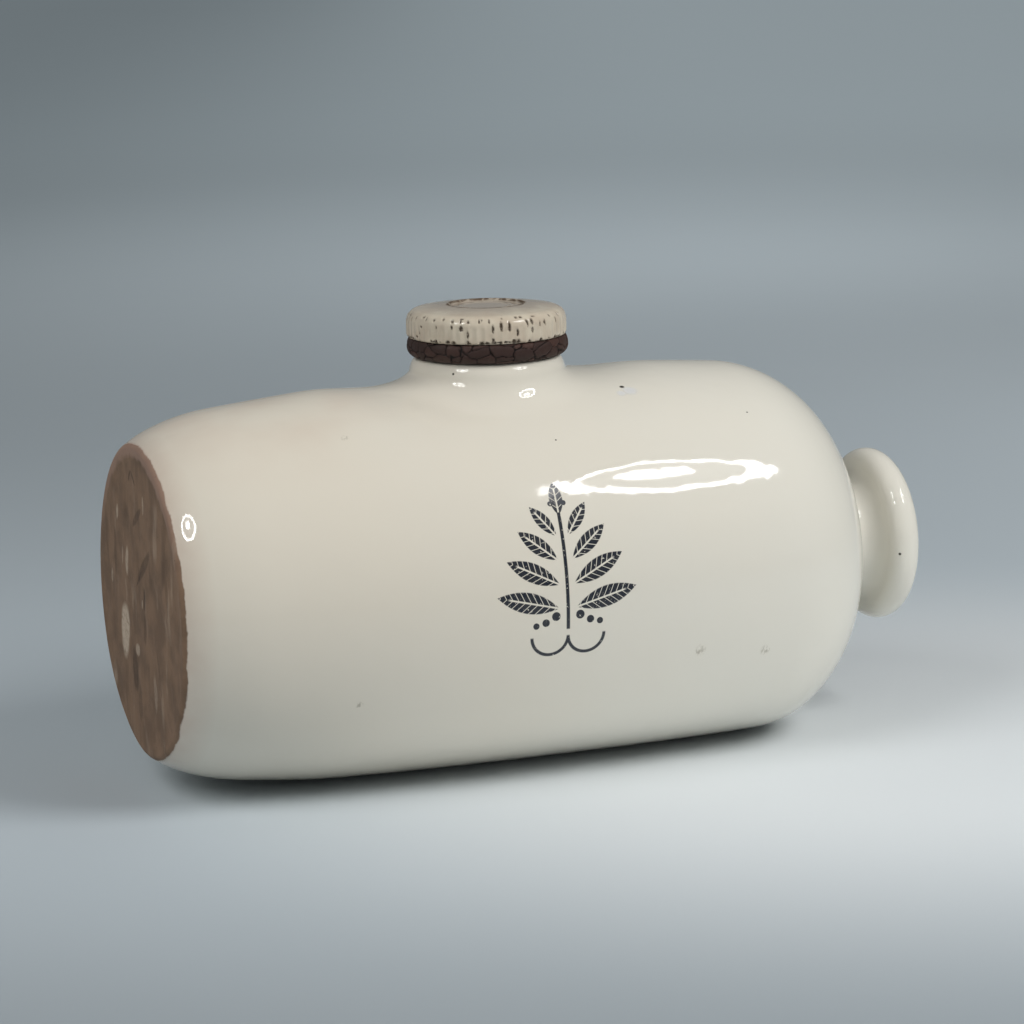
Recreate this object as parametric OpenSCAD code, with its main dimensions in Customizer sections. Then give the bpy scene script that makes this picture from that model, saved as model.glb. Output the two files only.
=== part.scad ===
// Stoneware hot water bottle, lying on its squashed side: a hollow glazed barrel with a luted
// filling neck and end knob, closed by a fluted screw stopper on a rubber sealing ring.
// The origin is on the surface that the bottle rests on, under the stopper's axis.
// +X runs along the barrel from the base to the knob, and +Z is up.

/* [Barrel] */
// Greatest outside radius
barrel_r = 66.5; // [60:0.5:80]
// Length from the base to the flat end of the shoulder
barrel_len = 239; // [215:1:300]
// Distance from the base to the widest place
belly_at = 129; // [110:1:150]
// Radius of the long belly curve
belly_arc = 850; // [600:10:2000]
// How far the edge of the base is drawn in from the belly curve
base_step = 6.2; // [2:0.1:12]
// Radius of the round between the base and the wall
base_round = 62; // [25:1:90]
// Radius of the shoulder curve
shoulder_r = 42; // [32:0.5:48]
// Thickness of the wall
wall = 8; // [5:0.5:11]
// Thickness of the base
base_wall = 10; // [6:0.5:16]
// Height of the barrel's axis above its squashed underside
axis_h = 60.5; // [58:0.5:62]
// Radius of the curve across the underside
under_r = 85; // [75:1:120]
// Half the width of the flat that the bottle rests on
under_flat = 15; // [8:0.5:20]

/* [Filling neck] */
// Distance from the base to the neck's axis
neck_at = 119; // [105:1:135]
// Outside radius just under the rim
neck_r = 25.2; // [23:0.1:28]
// Height of the rim above the barrel's crown
neck_rise = 5.2; // [4:0.1:12]
// Length from the rim down to the end inside the barrel
neck_len = 21; // [18:0.5:30]
// Width of the flare that spreads onto the barrel
flare_w = 13.5; // [8:0.5:18]
// Thickness of the flare at its outer edge
flare_edge = 0.4; // [0.3:0.1:1]
// Width of the small step under the rim
rim_step = 0.6; // [0.4:0.1:1.2]
// Radius of the rim's outer edge
rim_round = 3; // [1:0.1:3.5]

/* [End knob] */
// Radius of the flange
knob_r = 29.2; // [26:0.1:34]
// Length from the shoulder to the outer end
knob_len = 24; // [20:0.5:32]
// Thickness of the round-edged flange
flange_t = 10.5; // [7:0.5:13]
// Radius of the waist
waist_r = 17.5; // [14:0.5:20]

/* [Screw stopper] */
// Radius of the head
head_r = 26; // [24:0.1:29]
// Height of the head at its edge
head_h = 8.5; // [7:0.1:14]
// How far the head's domed top would rise over its edge without the roundel
head_dome = 2.3; // [1:0.1:4]
// Radius of the head's upper edge
head_round = 2.5; // [1:0.1:3]
// Radius of the head's lower edge
head_low_round = 1; // [0.5:0.1:1.5]
// Number of flutes round the head
flutes = 60; // [40:1:70]
// Radius of a flute
flute_r = 1.1; // [0.8:0.05:1.2]
// Depth of a flute
flute_depth = 0.45; // [0.2:0.05:0.6]
// Radius of the sunk roundel on top
roundel_r = 12; // [8:0.5:18]
// Depth of the sunk roundel
roundel_depth = 0.8; // [0.4:0.1:1.5]
// Radius of the shank between the threads
shank_r = 16.6; // [15:0.1:17.5]
// Length of the shank under the head
shank_len = 24; // [20:0.5:26]
// Bevel at the end of the shank
shank_bevel = 1.5; // [0.5:0.1:2.5]

/* [Screw thread] */
// Rise of the thread in one turn
thread_pitch = 7; // [6:0.5:9]
// Height of the thread above the shank
thread_depth = 2.4; // [1.5:0.1:2.8]
// Width of the thread at its root
thread_root = 4.2; // [3.4:0.1:4.6]
// Width of the thread at its crest
thread_crest = 2; // [1:0.1:2.6]
// Clearance all round between the stopper's thread and the neck's
thread_gap = 0.4; // [0.3:0.05:0.7]

/* [Sealing ring] */
// Outside radius
ring_r = 26.1; // [24:0.1:30]
// Thickness between the rim and the stopper's head
ring_h = 6.5; // [4:0.1:8]
// Radius of the bulging outer edge
ring_bulge = 5; // [4.5:0.1:8]
// Clearance between the ring and the shank
ring_gap = 0.4; // [0.3:0.05:0.8]

/* [Joints] */
// Thickness of the slip that lutes the neck and the knob to the barrel
lute_gap = 0.15; // [0.1:0.01:0.25]

/* [Hidden] */

glaze_colour = [0.85, 0.82, 0.73];
stopper_colour = [0.80, 0.77, 0.69];
rubber_colour = [0.17, 0.12, 0.11];

// Sides of a turned shape
turn_fn = 128;
// Sides of a small round
small_fn = 48;
// Steps along the base round, the belly and the shoulder
base_steps = 24;
belly_steps = 16;
shoulder_steps = 16;
// Steps round the flare, down its curve and across its underside
flare_turn = 48;
flare_curve = 8;
flare_under = 4;
// Steps of the domed top between the head's edge and the roundel
dome_steps = 4;
// How deep the flare's foot and the thread's root are let into what carries them
flare_root = 2;
thread_let_in = 1;
// Steps of the thread in one turn, and steps in which each end runs out
thread_turn = 24;
thread_fade = 4;
// How far below the shank's surface a run-out thread ends
thread_sunk = 0.3;
// A length that reaches past every piece, and one that reaches just past a face
reach = 4 * (barrel_r + barrel_len);
past = 1;

// The barrel's outline is worked out as [radius, distance from the base]
belly_c = [barrel_r - belly_arc, belly_at];
function belly_radius(s) = belly_c[0] + sqrt(pow(belly_arc, 2) - pow(s - belly_at, 2));

// The shoulder's circle touches the belly curve and the flat end
shoulder_at = barrel_len - shoulder_r;
shoulder_c = [
    belly_c[0] + sqrt(pow(belly_arc - shoulder_r, 2) - pow(shoulder_at - belly_at, 2)),
    shoulder_at
];

// The base round's circle touches the belly curve and passes through the base's edge
base_edge = [belly_radius(0) - base_step, 0];
base_line = base_edge - belly_c;
base_dist = norm(base_line);
base_dir = base_line / base_dist;
base_inner = belly_arc - base_round;
base_along = (pow(base_inner, 2) - pow(base_round, 2) + pow(base_dist, 2)) / (2 * base_dist);
base_across = sqrt(pow(base_inner, 2) - pow(base_along, 2));
base_c = belly_c + base_along * base_dir + base_across * [-base_dir[1], base_dir[0]];

function heading(v) = atan2(v[1], v[0]);
base_turn = heading(base_c - belly_c);
shoulder_turn = heading(shoulder_c - belly_c);

// Heights of the centre of the underside's curve, the crown beside the neck, the rim and the seat
under_z = sqrt(pow(under_r, 2) - pow(under_flat, 2));
crown_z = axis_h + belly_radius(neck_at);
rim_z = crown_z + neck_rise;
seat_z = rim_z + ring_h;
neck_low = rim_z - neck_len;
shank_low = seat_z - shank_len;
collar_r = neck_r - rim_step;
bore_r = shank_r + thread_gap;
thread_r = shank_r + thread_depth;
flare_top = rim_z - rim_round;

// The head's domed top is part of a ball that starts where the upper edge's round ends
dome_half = head_r - head_round;
dome_arc = (pow(dome_half, 2) + pow(head_dome, 2)) / (2 * head_dome);
function dome_h(r) = head_h + head_dome - dome_arc + sqrt(pow(dome_arc, 2) - pow(r, 2));

// Height of the barrel's upper surface at a place beside the neck
function surface_z(x, y) = axis_h + sqrt(pow(belly_radius(x + neck_at), 2) - pow(y, 2));
function lute_z(r, a) = surface_z(r * cos(a), r * sin(a)) + lute_gap;

function arc(c, r, from, to, n) = [
    for (i = [0:n]) c + r * [cos(from + (to - from) * i / n), sin(from + (to - from) * i / n)]
];

// Triangles between rings of n points each; a closed sweep joins its last ring to its first
function bands(rings, n) = [
    for (i = [0:rings - 1], j = [0:n - 1])
        let (a = i * n + j, b = i * n + (j + 1) % n)
        each [[a, b, b + n], [a, b + n, a + n]]
];
function wrapped(faces, count) = [for (f = faces) [for (v = f) v % count]];

// The barrel's half outline, grown outwards or, with a negative value, inwards
module half_outline(grow, low, high) {
    points = concat(
        [[0, base_c[1] - base_round - grow]],
        arc(base_c, base_round + grow, -90, base_turn, base_steps),
        arc(belly_c, belly_arc + grow, base_turn, shoulder_turn, belly_steps),
        arc(shoulder_c, shoulder_r + grow, shoulder_turn, 90, shoulder_steps),
        [[0, barrel_len + grow]]
    );
    intersection() {
        polygon(points);
        translate([0, low])
            square([reach, high - low]);
    }
}

// Turns a half outline about the barrel's axis
module turn_on_barrel_axis() {
    translate([-neck_at, 0, axis_h])
        rotate([0, 90, 0])
            rotate_extrude($fn = turn_fn)
                children();
}

// The barrel's form, squashed underneath to a flatter curve that ends in a flat
module squashed_form(grow, low, high, flat_z) {
    intersection() {
        turn_on_barrel_axis()
            half_outline(grow, low, high);
        translate([-reach / 2, 0, under_z])
            rotate([0, 90, 0])
                cylinder(r = under_r + grow, h = reach, $fn = turn_fn);
        translate([-reach / 2, -reach / 2, flat_z])
            cube(reach);
    }
}

module barrel() {
    color(glaze_colour)
        difference() {
            squashed_form(0, 0, barrel_len, 0);
            squashed_form(-wall, base_wall, barrel_len - wall, wall);
            translate([0, 0, axis_h])
                cylinder(r = collar_r + lute_gap, h = reach / 2, $fn = turn_fn);
        }
}

// The neck's flare: a hollow curve from under the rim out onto the round of the barrel
module neck_flare() {
    inner_r = collar_r - flare_root;
    outer_r = neck_r + flare_w;
    angles = [for (j = [0:flare_turn - 1]) 360 * j / flare_turn];
    lip = [for (a = angles) [inner_r, a, flare_top]];
    curve = [
        for (i = [0:flare_curve], a = angles)
            let (
                t = 90 * i / flare_curve,
                r = neck_r + flare_w * (1 - cos(t)),
                rise = flare_top - lute_z(neck_r, a) - flare_edge
            )
            [r, a, lute_z(r, a) + flare_edge + rise * (1 - sin(t))]
    ];
    under = [
        for (i = [0:flare_under], a = angles)
            let (r = outer_r + (inner_r - outer_r) * i / flare_under)
            [r, a, lute_z(r, a)]
    ];
    rows = concat(lip, curve, under);
    points = [for (p = rows) [p[0] * cos(p[1]), p[0] * sin(p[1]), p[2]]];
    polyhedron(points, wrapped(bands(len(rows) / flare_turn, flare_turn), len(rows)));
}

// A helical ridge on the stopper's axis, grown all round, whose ends run out if it fades
module thread(low, high, grow, fades) {
    root_r = shank_r - thread_let_in;
    steps = ceil((high - low) / thread_pitch * thread_turn);
    points = [
        for (i = [0:steps])
            let (
                z = low + (high - low) * i / steps,
                a = 360 * (z - rim_z) / thread_pitch,
                full = fades ? min(1, min(i, steps - i) / thread_fade) : 1,
                crest_r = (shank_r - thread_sunk) * (1 - full) + (thread_r + grow) * full,
                root = thread_root / 2 + grow,
                crest = thread_crest / 2 + grow
            )
            for (p = [[root_r, -root], [crest_r, -crest], [crest_r, crest], [root_r, root]])
                [p[0] * cos(a), p[0] * sin(a), z + p[1]]
    ];
    last = steps * 4;
    ends = [[0, 2, 1], [0, 3, 2], [last, last + 1, last + 2], [last, last + 2, last + 3]];
    polyhedron(points, concat(bands(steps, 4), ends));
}

// The neck's collar with its rounded rim, as a half outline
module collar_outline() {
    translate([0, neck_low]) {
        square([collar_r, neck_len - rim_round]);
        square([collar_r - rim_round, neck_len]);
        translate([collar_r - rim_round, neck_len - rim_round])
            circle(r = rim_round, $fn = small_fn);
    }
}

module filling_neck() {
    color(glaze_colour)
        difference() {
            union() {
                rotate_extrude($fn = turn_fn)
                    collar_outline();
                neck_flare();
            }
            translate([0, 0, neck_low - past])
                cylinder(r = bore_r, h = neck_len + 2 * past, $fn = turn_fn);
            thread(neck_low - thread_root, rim_z + thread_root, thread_gap, false);
        }
}

module end_knob() {
    rim = flange_t / 2;
    fillet = knob_r - rim - waist_r;
    foot = barrel_len + lute_gap;
    flange = barrel_len + knob_len - flange_t;
    color(glaze_colour)
        turn_on_barrel_axis()
            difference() {
                union() {
                    translate([0, foot])
                        square([knob_r - rim, knob_len - lute_gap]);
                    translate([knob_r - rim, flange + rim])
                        circle(r = rim, $fn = small_fn);
                }
                for (s = [foot + fillet, flange - fillet])
                    translate([waist_r + fillet, s])
                        circle(r = fillet, $fn = small_fn);
                translate([waist_r, foot + fillet])
                    square([fillet + past, flange - foot - 2 * fillet]);
            }
}

// The stopper's head, with rounded edges and a domed top, as a half outline
module head_outline() {
    translate([0, seat_z]) {
        polygon(concat(
            [[0, dome_h(roundel_r)], [0, 0], [dome_half, 0]],
            [
                for (i = [0:dome_steps])
                    let (r = dome_half + (roundel_r - dome_half) * i / dome_steps)
                    [r, dome_h(r)]
            ]
        ));
        translate([0, head_low_round])
            square([head_r, head_h - head_round - head_low_round]);
        square([head_r - head_low_round, head_h - head_round]);
        translate([head_r - head_round, head_h - head_round])
            circle(r = head_round, $fn = small_fn);
        translate([head_r - head_low_round, head_low_round])
            circle(r = head_low_round, $fn = small_fn);
    }
}

module shank_outline() {
    polygon([
        [0, shank_low],
        [shank_r - shank_bevel, shank_low],
        [shank_r, shank_low + shank_bevel],
        [shank_r, seat_z + past],
        [0, seat_z + past]
    ]);
}

module screw_stopper() {
    color(stopper_colour) {
        difference() {
            rotate_extrude($fn = turn_fn)
                union() {
                    head_outline();
                    shank_outline();
                }
            for (i = [0:flutes - 1])
                rotate(360 * i / flutes)
                    translate([head_r + flute_r - flute_depth, 0, seat_z - past])
                        cylinder(r = flute_r, h = head_h + 2 * past, $fn = small_fn);
            translate([0, 0, seat_z + dome_h(roundel_r) - roundel_depth])
                cylinder(r = roundel_r, h = roundel_depth + past, $fn = turn_fn);
        }
        thread(shank_low + shank_bevel + thread_root / 2, rim_z - thread_root / 2 - thread_gap, 0, true);
    }
}

module sealing_ring() {
    bore = shank_r + ring_gap;
    color(rubber_colour)
        rotate_extrude($fn = turn_fn)
            translate([0, rim_z])
                intersection() {
                    translate([bore, 0])
                        square([ring_r - bore, ring_h]);
                    union() {
                        square([ring_r - ring_bulge, ring_h]);
                        translate([ring_r - ring_bulge, ring_h / 2])
                            circle(r = ring_bulge, $fn = turn_fn);
                    }
                }
}

barrel();
filling_neck();
end_knob();
screw_stopper();
sealing_ring();
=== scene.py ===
import math
import random

import bmesh
import bpy
from mathutils import Matrix, Vector, kdtree, noise


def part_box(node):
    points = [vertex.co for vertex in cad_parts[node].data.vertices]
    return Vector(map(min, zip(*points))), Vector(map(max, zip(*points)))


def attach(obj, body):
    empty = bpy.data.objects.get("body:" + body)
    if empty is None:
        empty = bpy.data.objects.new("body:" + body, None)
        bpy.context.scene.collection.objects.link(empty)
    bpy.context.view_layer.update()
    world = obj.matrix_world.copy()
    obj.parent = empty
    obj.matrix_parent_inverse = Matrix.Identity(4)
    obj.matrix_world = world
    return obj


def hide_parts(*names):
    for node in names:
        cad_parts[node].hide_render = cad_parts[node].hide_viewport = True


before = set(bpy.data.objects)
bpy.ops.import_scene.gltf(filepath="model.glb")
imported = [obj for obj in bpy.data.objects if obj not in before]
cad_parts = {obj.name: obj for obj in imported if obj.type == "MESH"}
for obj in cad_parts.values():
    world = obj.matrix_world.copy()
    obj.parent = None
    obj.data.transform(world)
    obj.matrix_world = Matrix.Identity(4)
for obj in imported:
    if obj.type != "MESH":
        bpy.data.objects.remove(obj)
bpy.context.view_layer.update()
mm = 0.001  # shapes are worked out in millimetres and scaled when a piece is finished


def nodeBox(node):
    low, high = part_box(node)
    return low / mm, high / mm


barrelLow, barrelHigh = nodeBox("barrel")
knobLow, knobHigh = nodeBox("end_knob")
ringLow, ringHigh = nodeBox("sealing_ring")
stopperLow, stopperHigh = nodeBox("screw_stopper")
axisZ = (knobLow.z + knobHigh.z) / 2
baseX = barrelLow.x
rimZ = ringLow.z
seatZ = ringHigh.z
fullTurn = 2 * math.pi
print("frame read: axis at", round(axisZ, 2), "rim at", round(rimZ, 2), "seat at", round(seatZ, 2))


# small helpers for outlines, blends and loops

def smoothStep(low, high, value):
    t = min(1, max(0, (value - low) / (high - low)))
    return t * t * (3 - 2 * t)


def arc(centre, radius, start, end, steps):
    turns = [math.radians(start + (end - start) * i / steps) for i in range(steps + 1)]
    return [(centre[0] + radius * math.cos(t), centre[1] + radius * math.sin(t)) for t in turns]


def line(start, end, steps):
    shares = [i / steps for i in range(1, steps + 1)]
    return [(start[0] + (end[0] - start[0]) * t, start[1] + (end[1] - start[1]) * t) for t in shares]


def spinOutline(bm, points, centre, axis, steps, closed=False):
    # one sector is spun, then copied round the axis and welded, which is quicker than one long spin
    sectors = 20
    before = set(bm.verts)
    verts = [bm.verts.new(p) for p in points]
    edges = [bm.edges.new(pair) for pair in zip(verts, verts[1:])]
    if closed:
        edges.append(bm.edges.new((verts[-1], verts[0])))
    sectorTurn = fullTurn / sectors
    bmesh.ops.spin(bm, geom=verts + edges, cent=centre, axis=axis, angle=sectorTurn, steps=steps // sectors)
    sector = [v for v in bm.verts if v not in before]
    sectorEdges = dict.fromkeys(e for v in sector for e in v.link_edges)  # each once, in order
    sectorFaces = dict.fromkeys(f for v in sector for f in v.link_faces)
    geom = sector + list(sectorEdges) + list(sectorFaces)
    for i in range(1, sectors):
        copied = bmesh.ops.duplicate(bm, geom=geom)["geom"]
        turned = [g for g in copied if isinstance(g, bmesh.types.BMVert)]
        bmesh.ops.rotate(bm, cent=centre, matrix=Matrix.Rotation(sectorTurn * i, 3, axis), verts=turned)
    bmesh.ops.remove_doubles(bm, verts=[v for v in bm.verts if v not in before], dist=0.001)


def growLoop(bm, loop, place):
    grown = bmesh.ops.extrude_edge_only(bm, edges=loop)["geom"]
    for vert in [g for g in grown if isinstance(g, bmesh.types.BMVert)]:
        vert.co = place(vert.co)
    return [g for g in grown if isinstance(g, bmesh.types.BMEdge) and g.is_boundary]


def finishPiece(bm, name, material, body, nodes):
    bmesh.ops.recalc_face_normals(bm, faces=bm.faces)
    bmesh.ops.scale(bm, vec=(mm, mm, mm), verts=bm.verts)
    for face in bm.faces:
        face.smooth = True
    mesh = bpy.data.meshes.new(name)
    bm.to_mesh(mesh)
    bm.free()
    piece = bpy.data.objects.new(name, mesh)
    bpy.context.scene.collection.objects.link(piece)
    mesh.materials.append(material)
    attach(piece, body)
    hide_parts(*nodes)
    print(name, "made with", sum(len(p.vertices) - 2 for p in mesh.polygons), "triangles")


# the screw thread, shared by the stopper's shank and the neck's bore

thread = {
    "pitch": 7, "depth": 2.4, "crest": 1.0, "root": 1.78, "clearance": 0.36, "runOut": 1.3, "mouthFade": 2.5,
}


def threadOffset(turn, height):
    phase = (height - rimZ) / thread["pitch"] - turn / fullTurn
    return (phase - round(phase)) * thread["pitch"]


# node arithmetic: a wire is one output of a material's node tree

class Wire:
    def __init__(self, tree, socket=None):
        self.tree = tree
        self.socket = socket

    def node(self, kind, settings, inputs, out=0):
        made = self.tree.nodes.new(kind)
        for key, value in settings.items():
            if key == "stops":
                for extra in value[2:]:
                    made.color_ramp.elements.new(extra[0])
                for element, stop in zip(made.color_ramp.elements, value):
                    element.position, element.color = stop
            else:
                setattr(made, key, value)
        for key, value in inputs.items():
            if isinstance(value, Wire):
                self.tree.links.new(value.socket, made.inputs[key])
            else:
                made.inputs[key].default_value = value
        return Wire(self.tree, made.outputs[out]) if made.outputs else None

    def math(self, operation, *values):
        return self.node("ShaderNodeMath", {"operation": operation}, dict(enumerate(values)))

    def __add__(self, other):
        return self.math("ADD", self, other)

    def __radd__(self, other):
        return self.math("ADD", other, self)

    def __sub__(self, other):
        return self.math("SUBTRACT", self, other)

    def __rsub__(self, other):
        return self.math("SUBTRACT", other, self)

    def __mul__(self, other):
        return self.math("MULTIPLY", self, other)

    def __rmul__(self, other):
        return self.math("MULTIPLY", other, self)

    def __truediv__(self, other):
        return self.math("DIVIDE", self, other)

    def __abs__(self):
        return self.math("ABSOLUTE", self)

    def most(self, other):
        return self.math("MAXIMUM", self, other)

    def least(self, other):
        return self.math("MINIMUM", self, other)

    def root(self):
        return self.math("SQRT", self)

    def step(self, low, high):
        limits = {"Value": self, "From Min": low, "From Max": high}
        return self.node("ShaderNodeMapRange", {"interpolation_type": "SMOOTHSTEP"}, limits)

    def mix(self, first, second):
        return self.node("ShaderNodeMix", {"data_type": "RGBA"}, {0: self, 6: first, 7: second}, out=2)

    def noise(self, size, detail=2.0, roughness=0.5):
        settings = {"Vector": self, "Scale": 1 / size, "Detail": detail, "Roughness": roughness}
        return self.node("ShaderNodeTexNoise", {}, settings)

    def gap(self, point):
        return self.node("ShaderNodeVectorMath", {"operation": "DISTANCE"}, {0: self, 1: point}, out="Value")

    def stretched(self, x, y, z):
        return self.node("ShaderNodeVectorMath", {"operation": "MULTIPLY"}, {0: self, 1: (x, y, z)})

    def axes(self):
        split = self.node("ShaderNodeSeparateXYZ", {}, {0: self}).socket.node
        return [Wire(self.tree, out) for out in split.outputs]


def paint(red, green, blue):
    linear = [((c / 255 + 0.055) / 1.055) ** 2.4 for c in (red, green, blue)]
    return (*linear, 1)


def startMaterial(name):
    material = bpy.data.materials.new(name)
    material.use_nodes = True
    material.node_tree.nodes.clear()
    wire = Wire(material.node_tree)
    place = wire.node("ShaderNodeTexCoord", {}, {}, out="Object")
    scaled = place.node("ShaderNodeVectorMath", {"operation": "SCALE"}, {0: place, "Scale": 1 / mm})
    return material, scaled


def endMaterial(wire, colour, roughness, height, bumpStrength, bumpDistance, **sockets):
    bump = {"Height": height, "Strength": bumpStrength, "Distance": bumpDistance * mm}
    normal = wire.node("ShaderNodeBump", {}, bump)
    surface = {"Base Color": colour, "Roughness": roughness, "Normal": normal, **sockets}
    shader = wire.node("ShaderNodeBsdfPrincipled", {}, surface)
    wire.node("ShaderNodeOutputMaterial", {}, {"Surface": shader})


def attribute(wire, name):
    return wire.node("ShaderNodeAttribute", {"attribute_name": name}, {}, out="Fac")


def along(across, up, middle, half, turn):
    # places along and over a turned mark, one at its ends and sides
    cosine = math.cos(math.radians(turn))
    sine = math.sin(math.radians(turn))
    right = across - middle[0]
    rise = up - middle[1]
    return (right * cosine + rise * sine) / half[0], (rise * cosine - right * sine) / half[1]


def smear(across, up, middle, half, turn, soft=0.6):
    ahead, over = along(across, up, middle, half, turn)
    return (ahead * ahead + over * over).step(1, 1 - soft)


def leaf(across, up, middle, half, turn):
    # a pointed leaf with a bare midrib and fine side veins
    ahead, over = along(across, up, middle, half, turn)
    blade = (abs(over) + ahead * ahead).step(1.06, 0.94)
    rib = (abs(over) * half[1]).step(0.2, 0.34).most(ahead.step(0.55, 0.7))
    slant = (ahead * half[0] - abs(over) * half[1] * 0.8) / 2.1
    veins = abs(slant.math("FRACT", slant) - 0.5)
    return blade * rib * veins.step(0.02, 0.1)


def most(wires):
    joined = wires[0]
    for wire in wires[1:]:
        joined = joined.most(wire)
    return joined


# the bottle: barrel, neck and knob under one skin of glaze

bottle = {
    "bellyArc": 850, "bellyAt": 129, "baseStep": 6.2, "baseRound": 62, "baseEdge": 1.5,
    "baseFull": 0.7, "baseFullAt": 6, "shoulderRound": 42, "wall": 8, "baseWall": 10,
    "underRound": 85, "underFlat": 15, "underBlend": 6,
    "baseLift": 1.9, "liftFrom": 55, "liftTo": 4, "liftTop": 20, "liftLow": 52,
    "neckRadius": 25.4, "neckLength": 21, "boreRadius": 17, "mouthRound": 0.6,
    "flareAlong": 13.5, "flareAcross": 8.5, "flareLift": 8, "rimWidth": 3, "rimHeight": 4.6, "rimLean": 20,
    "dipBaseSide": 1.9, "dipKnobSide": 1.1, "dipFrom": 60, "dipTo": 36, "dipShift": 20,
    "flangeThickness": 10.5, "waistRadius": 17.5, "luting": 0.15,
    "turnSteps": 240, "bellySteps": 48, "spreadSteps": 5, "flareSteps": 20, "rimSteps": 12, "boreSteps": 48,
    "openHalfLength": 43, "openHalfTurn": 39.5,
    # the wall's waves fade out towards the knob's axis, the floor, the base and the neck
    "waviness": 0.22, "wavinessSize": 38, "waveFrom": 30, "waveFloor": (2, 14), "waveBase": (0, 12),
    "waveNeck": (36, 50),
    "roughDepth": 0.3, "roughSpread": 0.35, "roughSize": 15, "roughFade": 5, "dragDepth": 0.1,
}
bellyRadius = barrelHigh.y
barrelLength = barrelHigh.x - baseX
knobLength = knobHigh.x - barrelHigh.x
flangeRadius = knobHigh.y
neckEndZ = rimZ - bottle["neckLength"]
grooveRadius = bottle["boreRadius"] + thread["depth"]
bellyCentre = (bellyRadius - bottle["bellyArc"], bottle["bellyAt"])


def bellyAt(station):
    return bellyCentre[0] + math.sqrt(bottle["bellyArc"] ** 2 - (station - bottle["bellyAt"]) ** 2)


def crownHeight(x, y, wall=0):
    return axisZ + math.sqrt((bellyAt(x - baseX) - wall) ** 2 - y ** 2)


def dipAt(x, y):
    # the wall sinks a little round the neck, more on the base's side
    deeper = bottle["dipBaseSide"] - bottle["dipKnobSide"]
    depth = bottle["dipKnobSide"] + deeper * smoothStep(bottle["dipShift"], -bottle["dipShift"], x)
    return depth * smoothStep(bottle["dipFrom"], bottle["dipTo"], math.hypot(x, y))


def skinHeight(x, y):
    return crownHeight(x, y) - dipAt(x, y)


def heading(start, end):
    return math.degrees(math.atan2(end[1] - start[1], end[0] - start[0]))


shoulderAt = barrelLength - bottle["shoulderRound"]
shoulderGap = bottle["bellyArc"] - bottle["shoulderRound"]
shoulderReach = math.sqrt(shoulderGap ** 2 - (shoulderAt - bottle["bellyAt"]) ** 2)
shoulderCentre = (bellyCentre[0] + shoulderReach, shoulderAt)
baseRadius = bellyAt(0) - bottle["baseStep"]


def baseRoundCentre():
    # the circle that touches the belly curve and passes through the edge of the base
    dx = baseRadius - bellyCentre[0]
    dy = -bellyCentre[1]
    span = math.hypot(dx, dy)
    inner = bottle["bellyArc"] - bottle["baseRound"]
    along = (inner ** 2 - bottle["baseRound"] ** 2 + span ** 2) / (2 * span)
    across = math.sqrt(inner ** 2 - along ** 2)
    radius = bellyCentre[0] + (along * dx - across * dy) / span
    station = bellyCentre[1] + (along * dy + across * dx) / span
    return radius, station


baseCentre = baseRoundCentre()
baseTurn = heading(bellyCentre, baseCentre)
shoulderTurn = heading(bellyCentre, shoulderCentre)


def outerOutline():
    edge = bottle["baseEdge"]
    edgeTurn = heading(baseCentre, (baseRadius, 0))
    edgeStart = baseRadius - edge * math.tan(math.radians(90 + edgeTurn) / 2)
    rim = bottle["flangeThickness"] / 2
    rimRadius = flangeRadius - rim
    fillet = rimRadius - bottle["waistRadius"]
    foot = barrelLength + bottle["luting"] + fillet
    flange = barrelLength + knobLength - bottle["flangeThickness"]
    points = [(0, 0)] + line((0, 0), (edgeStart, 0), 30)
    points += arc((edgeStart, edge), edge, -90, edgeTurn, 4)[1:]
    points += arc(baseCentre, bottle["baseRound"], edgeTurn + 1.2, baseTurn, 16)
    points += arc(bellyCentre, bottle["bellyArc"], baseTurn, shoulderTurn, bottle["bellySteps"])[1:]
    points += arc(shoulderCentre, bottle["shoulderRound"], shoulderTurn, 86.5, 34)[1:]
    points += arc((rimRadius, foot), fillet, -92, -180, 10)
    points += arc((rimRadius, flange - fillet), fillet, 180, 90, 10)
    points += arc((rimRadius, flange + rim), rim, -90, 90, 20)[1:]
    points += line((rimRadius, barrelLength + knobLength), (0, barrelLength + knobLength), 8)
    # the wall is a little fuller next to the base
    full = bottle["baseFullAt"]
    return [(r + bottle["baseFull"] * s / full * math.exp(1 - s / full), s) for r, s in points]


def innerOutline():
    wall = bottle["wall"]
    floorAt = bottle["baseWall"]
    innerRound = bottle["baseRound"] - wall
    start = -math.degrees(math.asin((baseCentre[1] - floorAt) / innerRound))
    floorRadius = baseCentre[0] + innerRound * math.cos(math.radians(start))
    points = [(0, floorAt)] + line((0, floorAt), (floorRadius, floorAt), 6)
    points += arc(baseCentre, innerRound, start, baseTurn, 8)[1:]
    points += arc(bellyCentre, bottle["bellyArc"] - wall, baseTurn, shoulderTurn, bottle["bellySteps"])[1:]
    points += arc(shoulderCentre, bottle["shoulderRound"] - wall, shoulderTurn, 90, 14)[1:]
    return points + line((shoulderCentre[0], barrelLength - wall), (0, barrelLength - wall), 4)


def spinOnBarrelAxis(bm, outline):
    points = [(baseX + station, 0, axisZ + radius) for radius, station in outline]
    spinOutline(bm, points, (0, 0, axisZ), (1, 0, 0), bottle["turnSteps"])


def squashUnder(verts, inset):
    # a flatter curve underneath, which ends in a flat and rounds softly into the wall
    blend = bottle["underBlend"]
    centre = math.sqrt(bottle["underRound"] ** 2 - bottle["underFlat"] ** 2)
    for vert in verts:
        curve = centre - math.sqrt((bottle["underRound"] - inset) ** 2 - vert.co.y ** 2)
        level = max(curve, inset)
        gap = vert.co.z - level
        if gap < -blend:
            vert.co.z = level
        elif gap < blend:
            vert.co.z = level + (gap + blend) ** 2 / (4 * blend)


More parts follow.
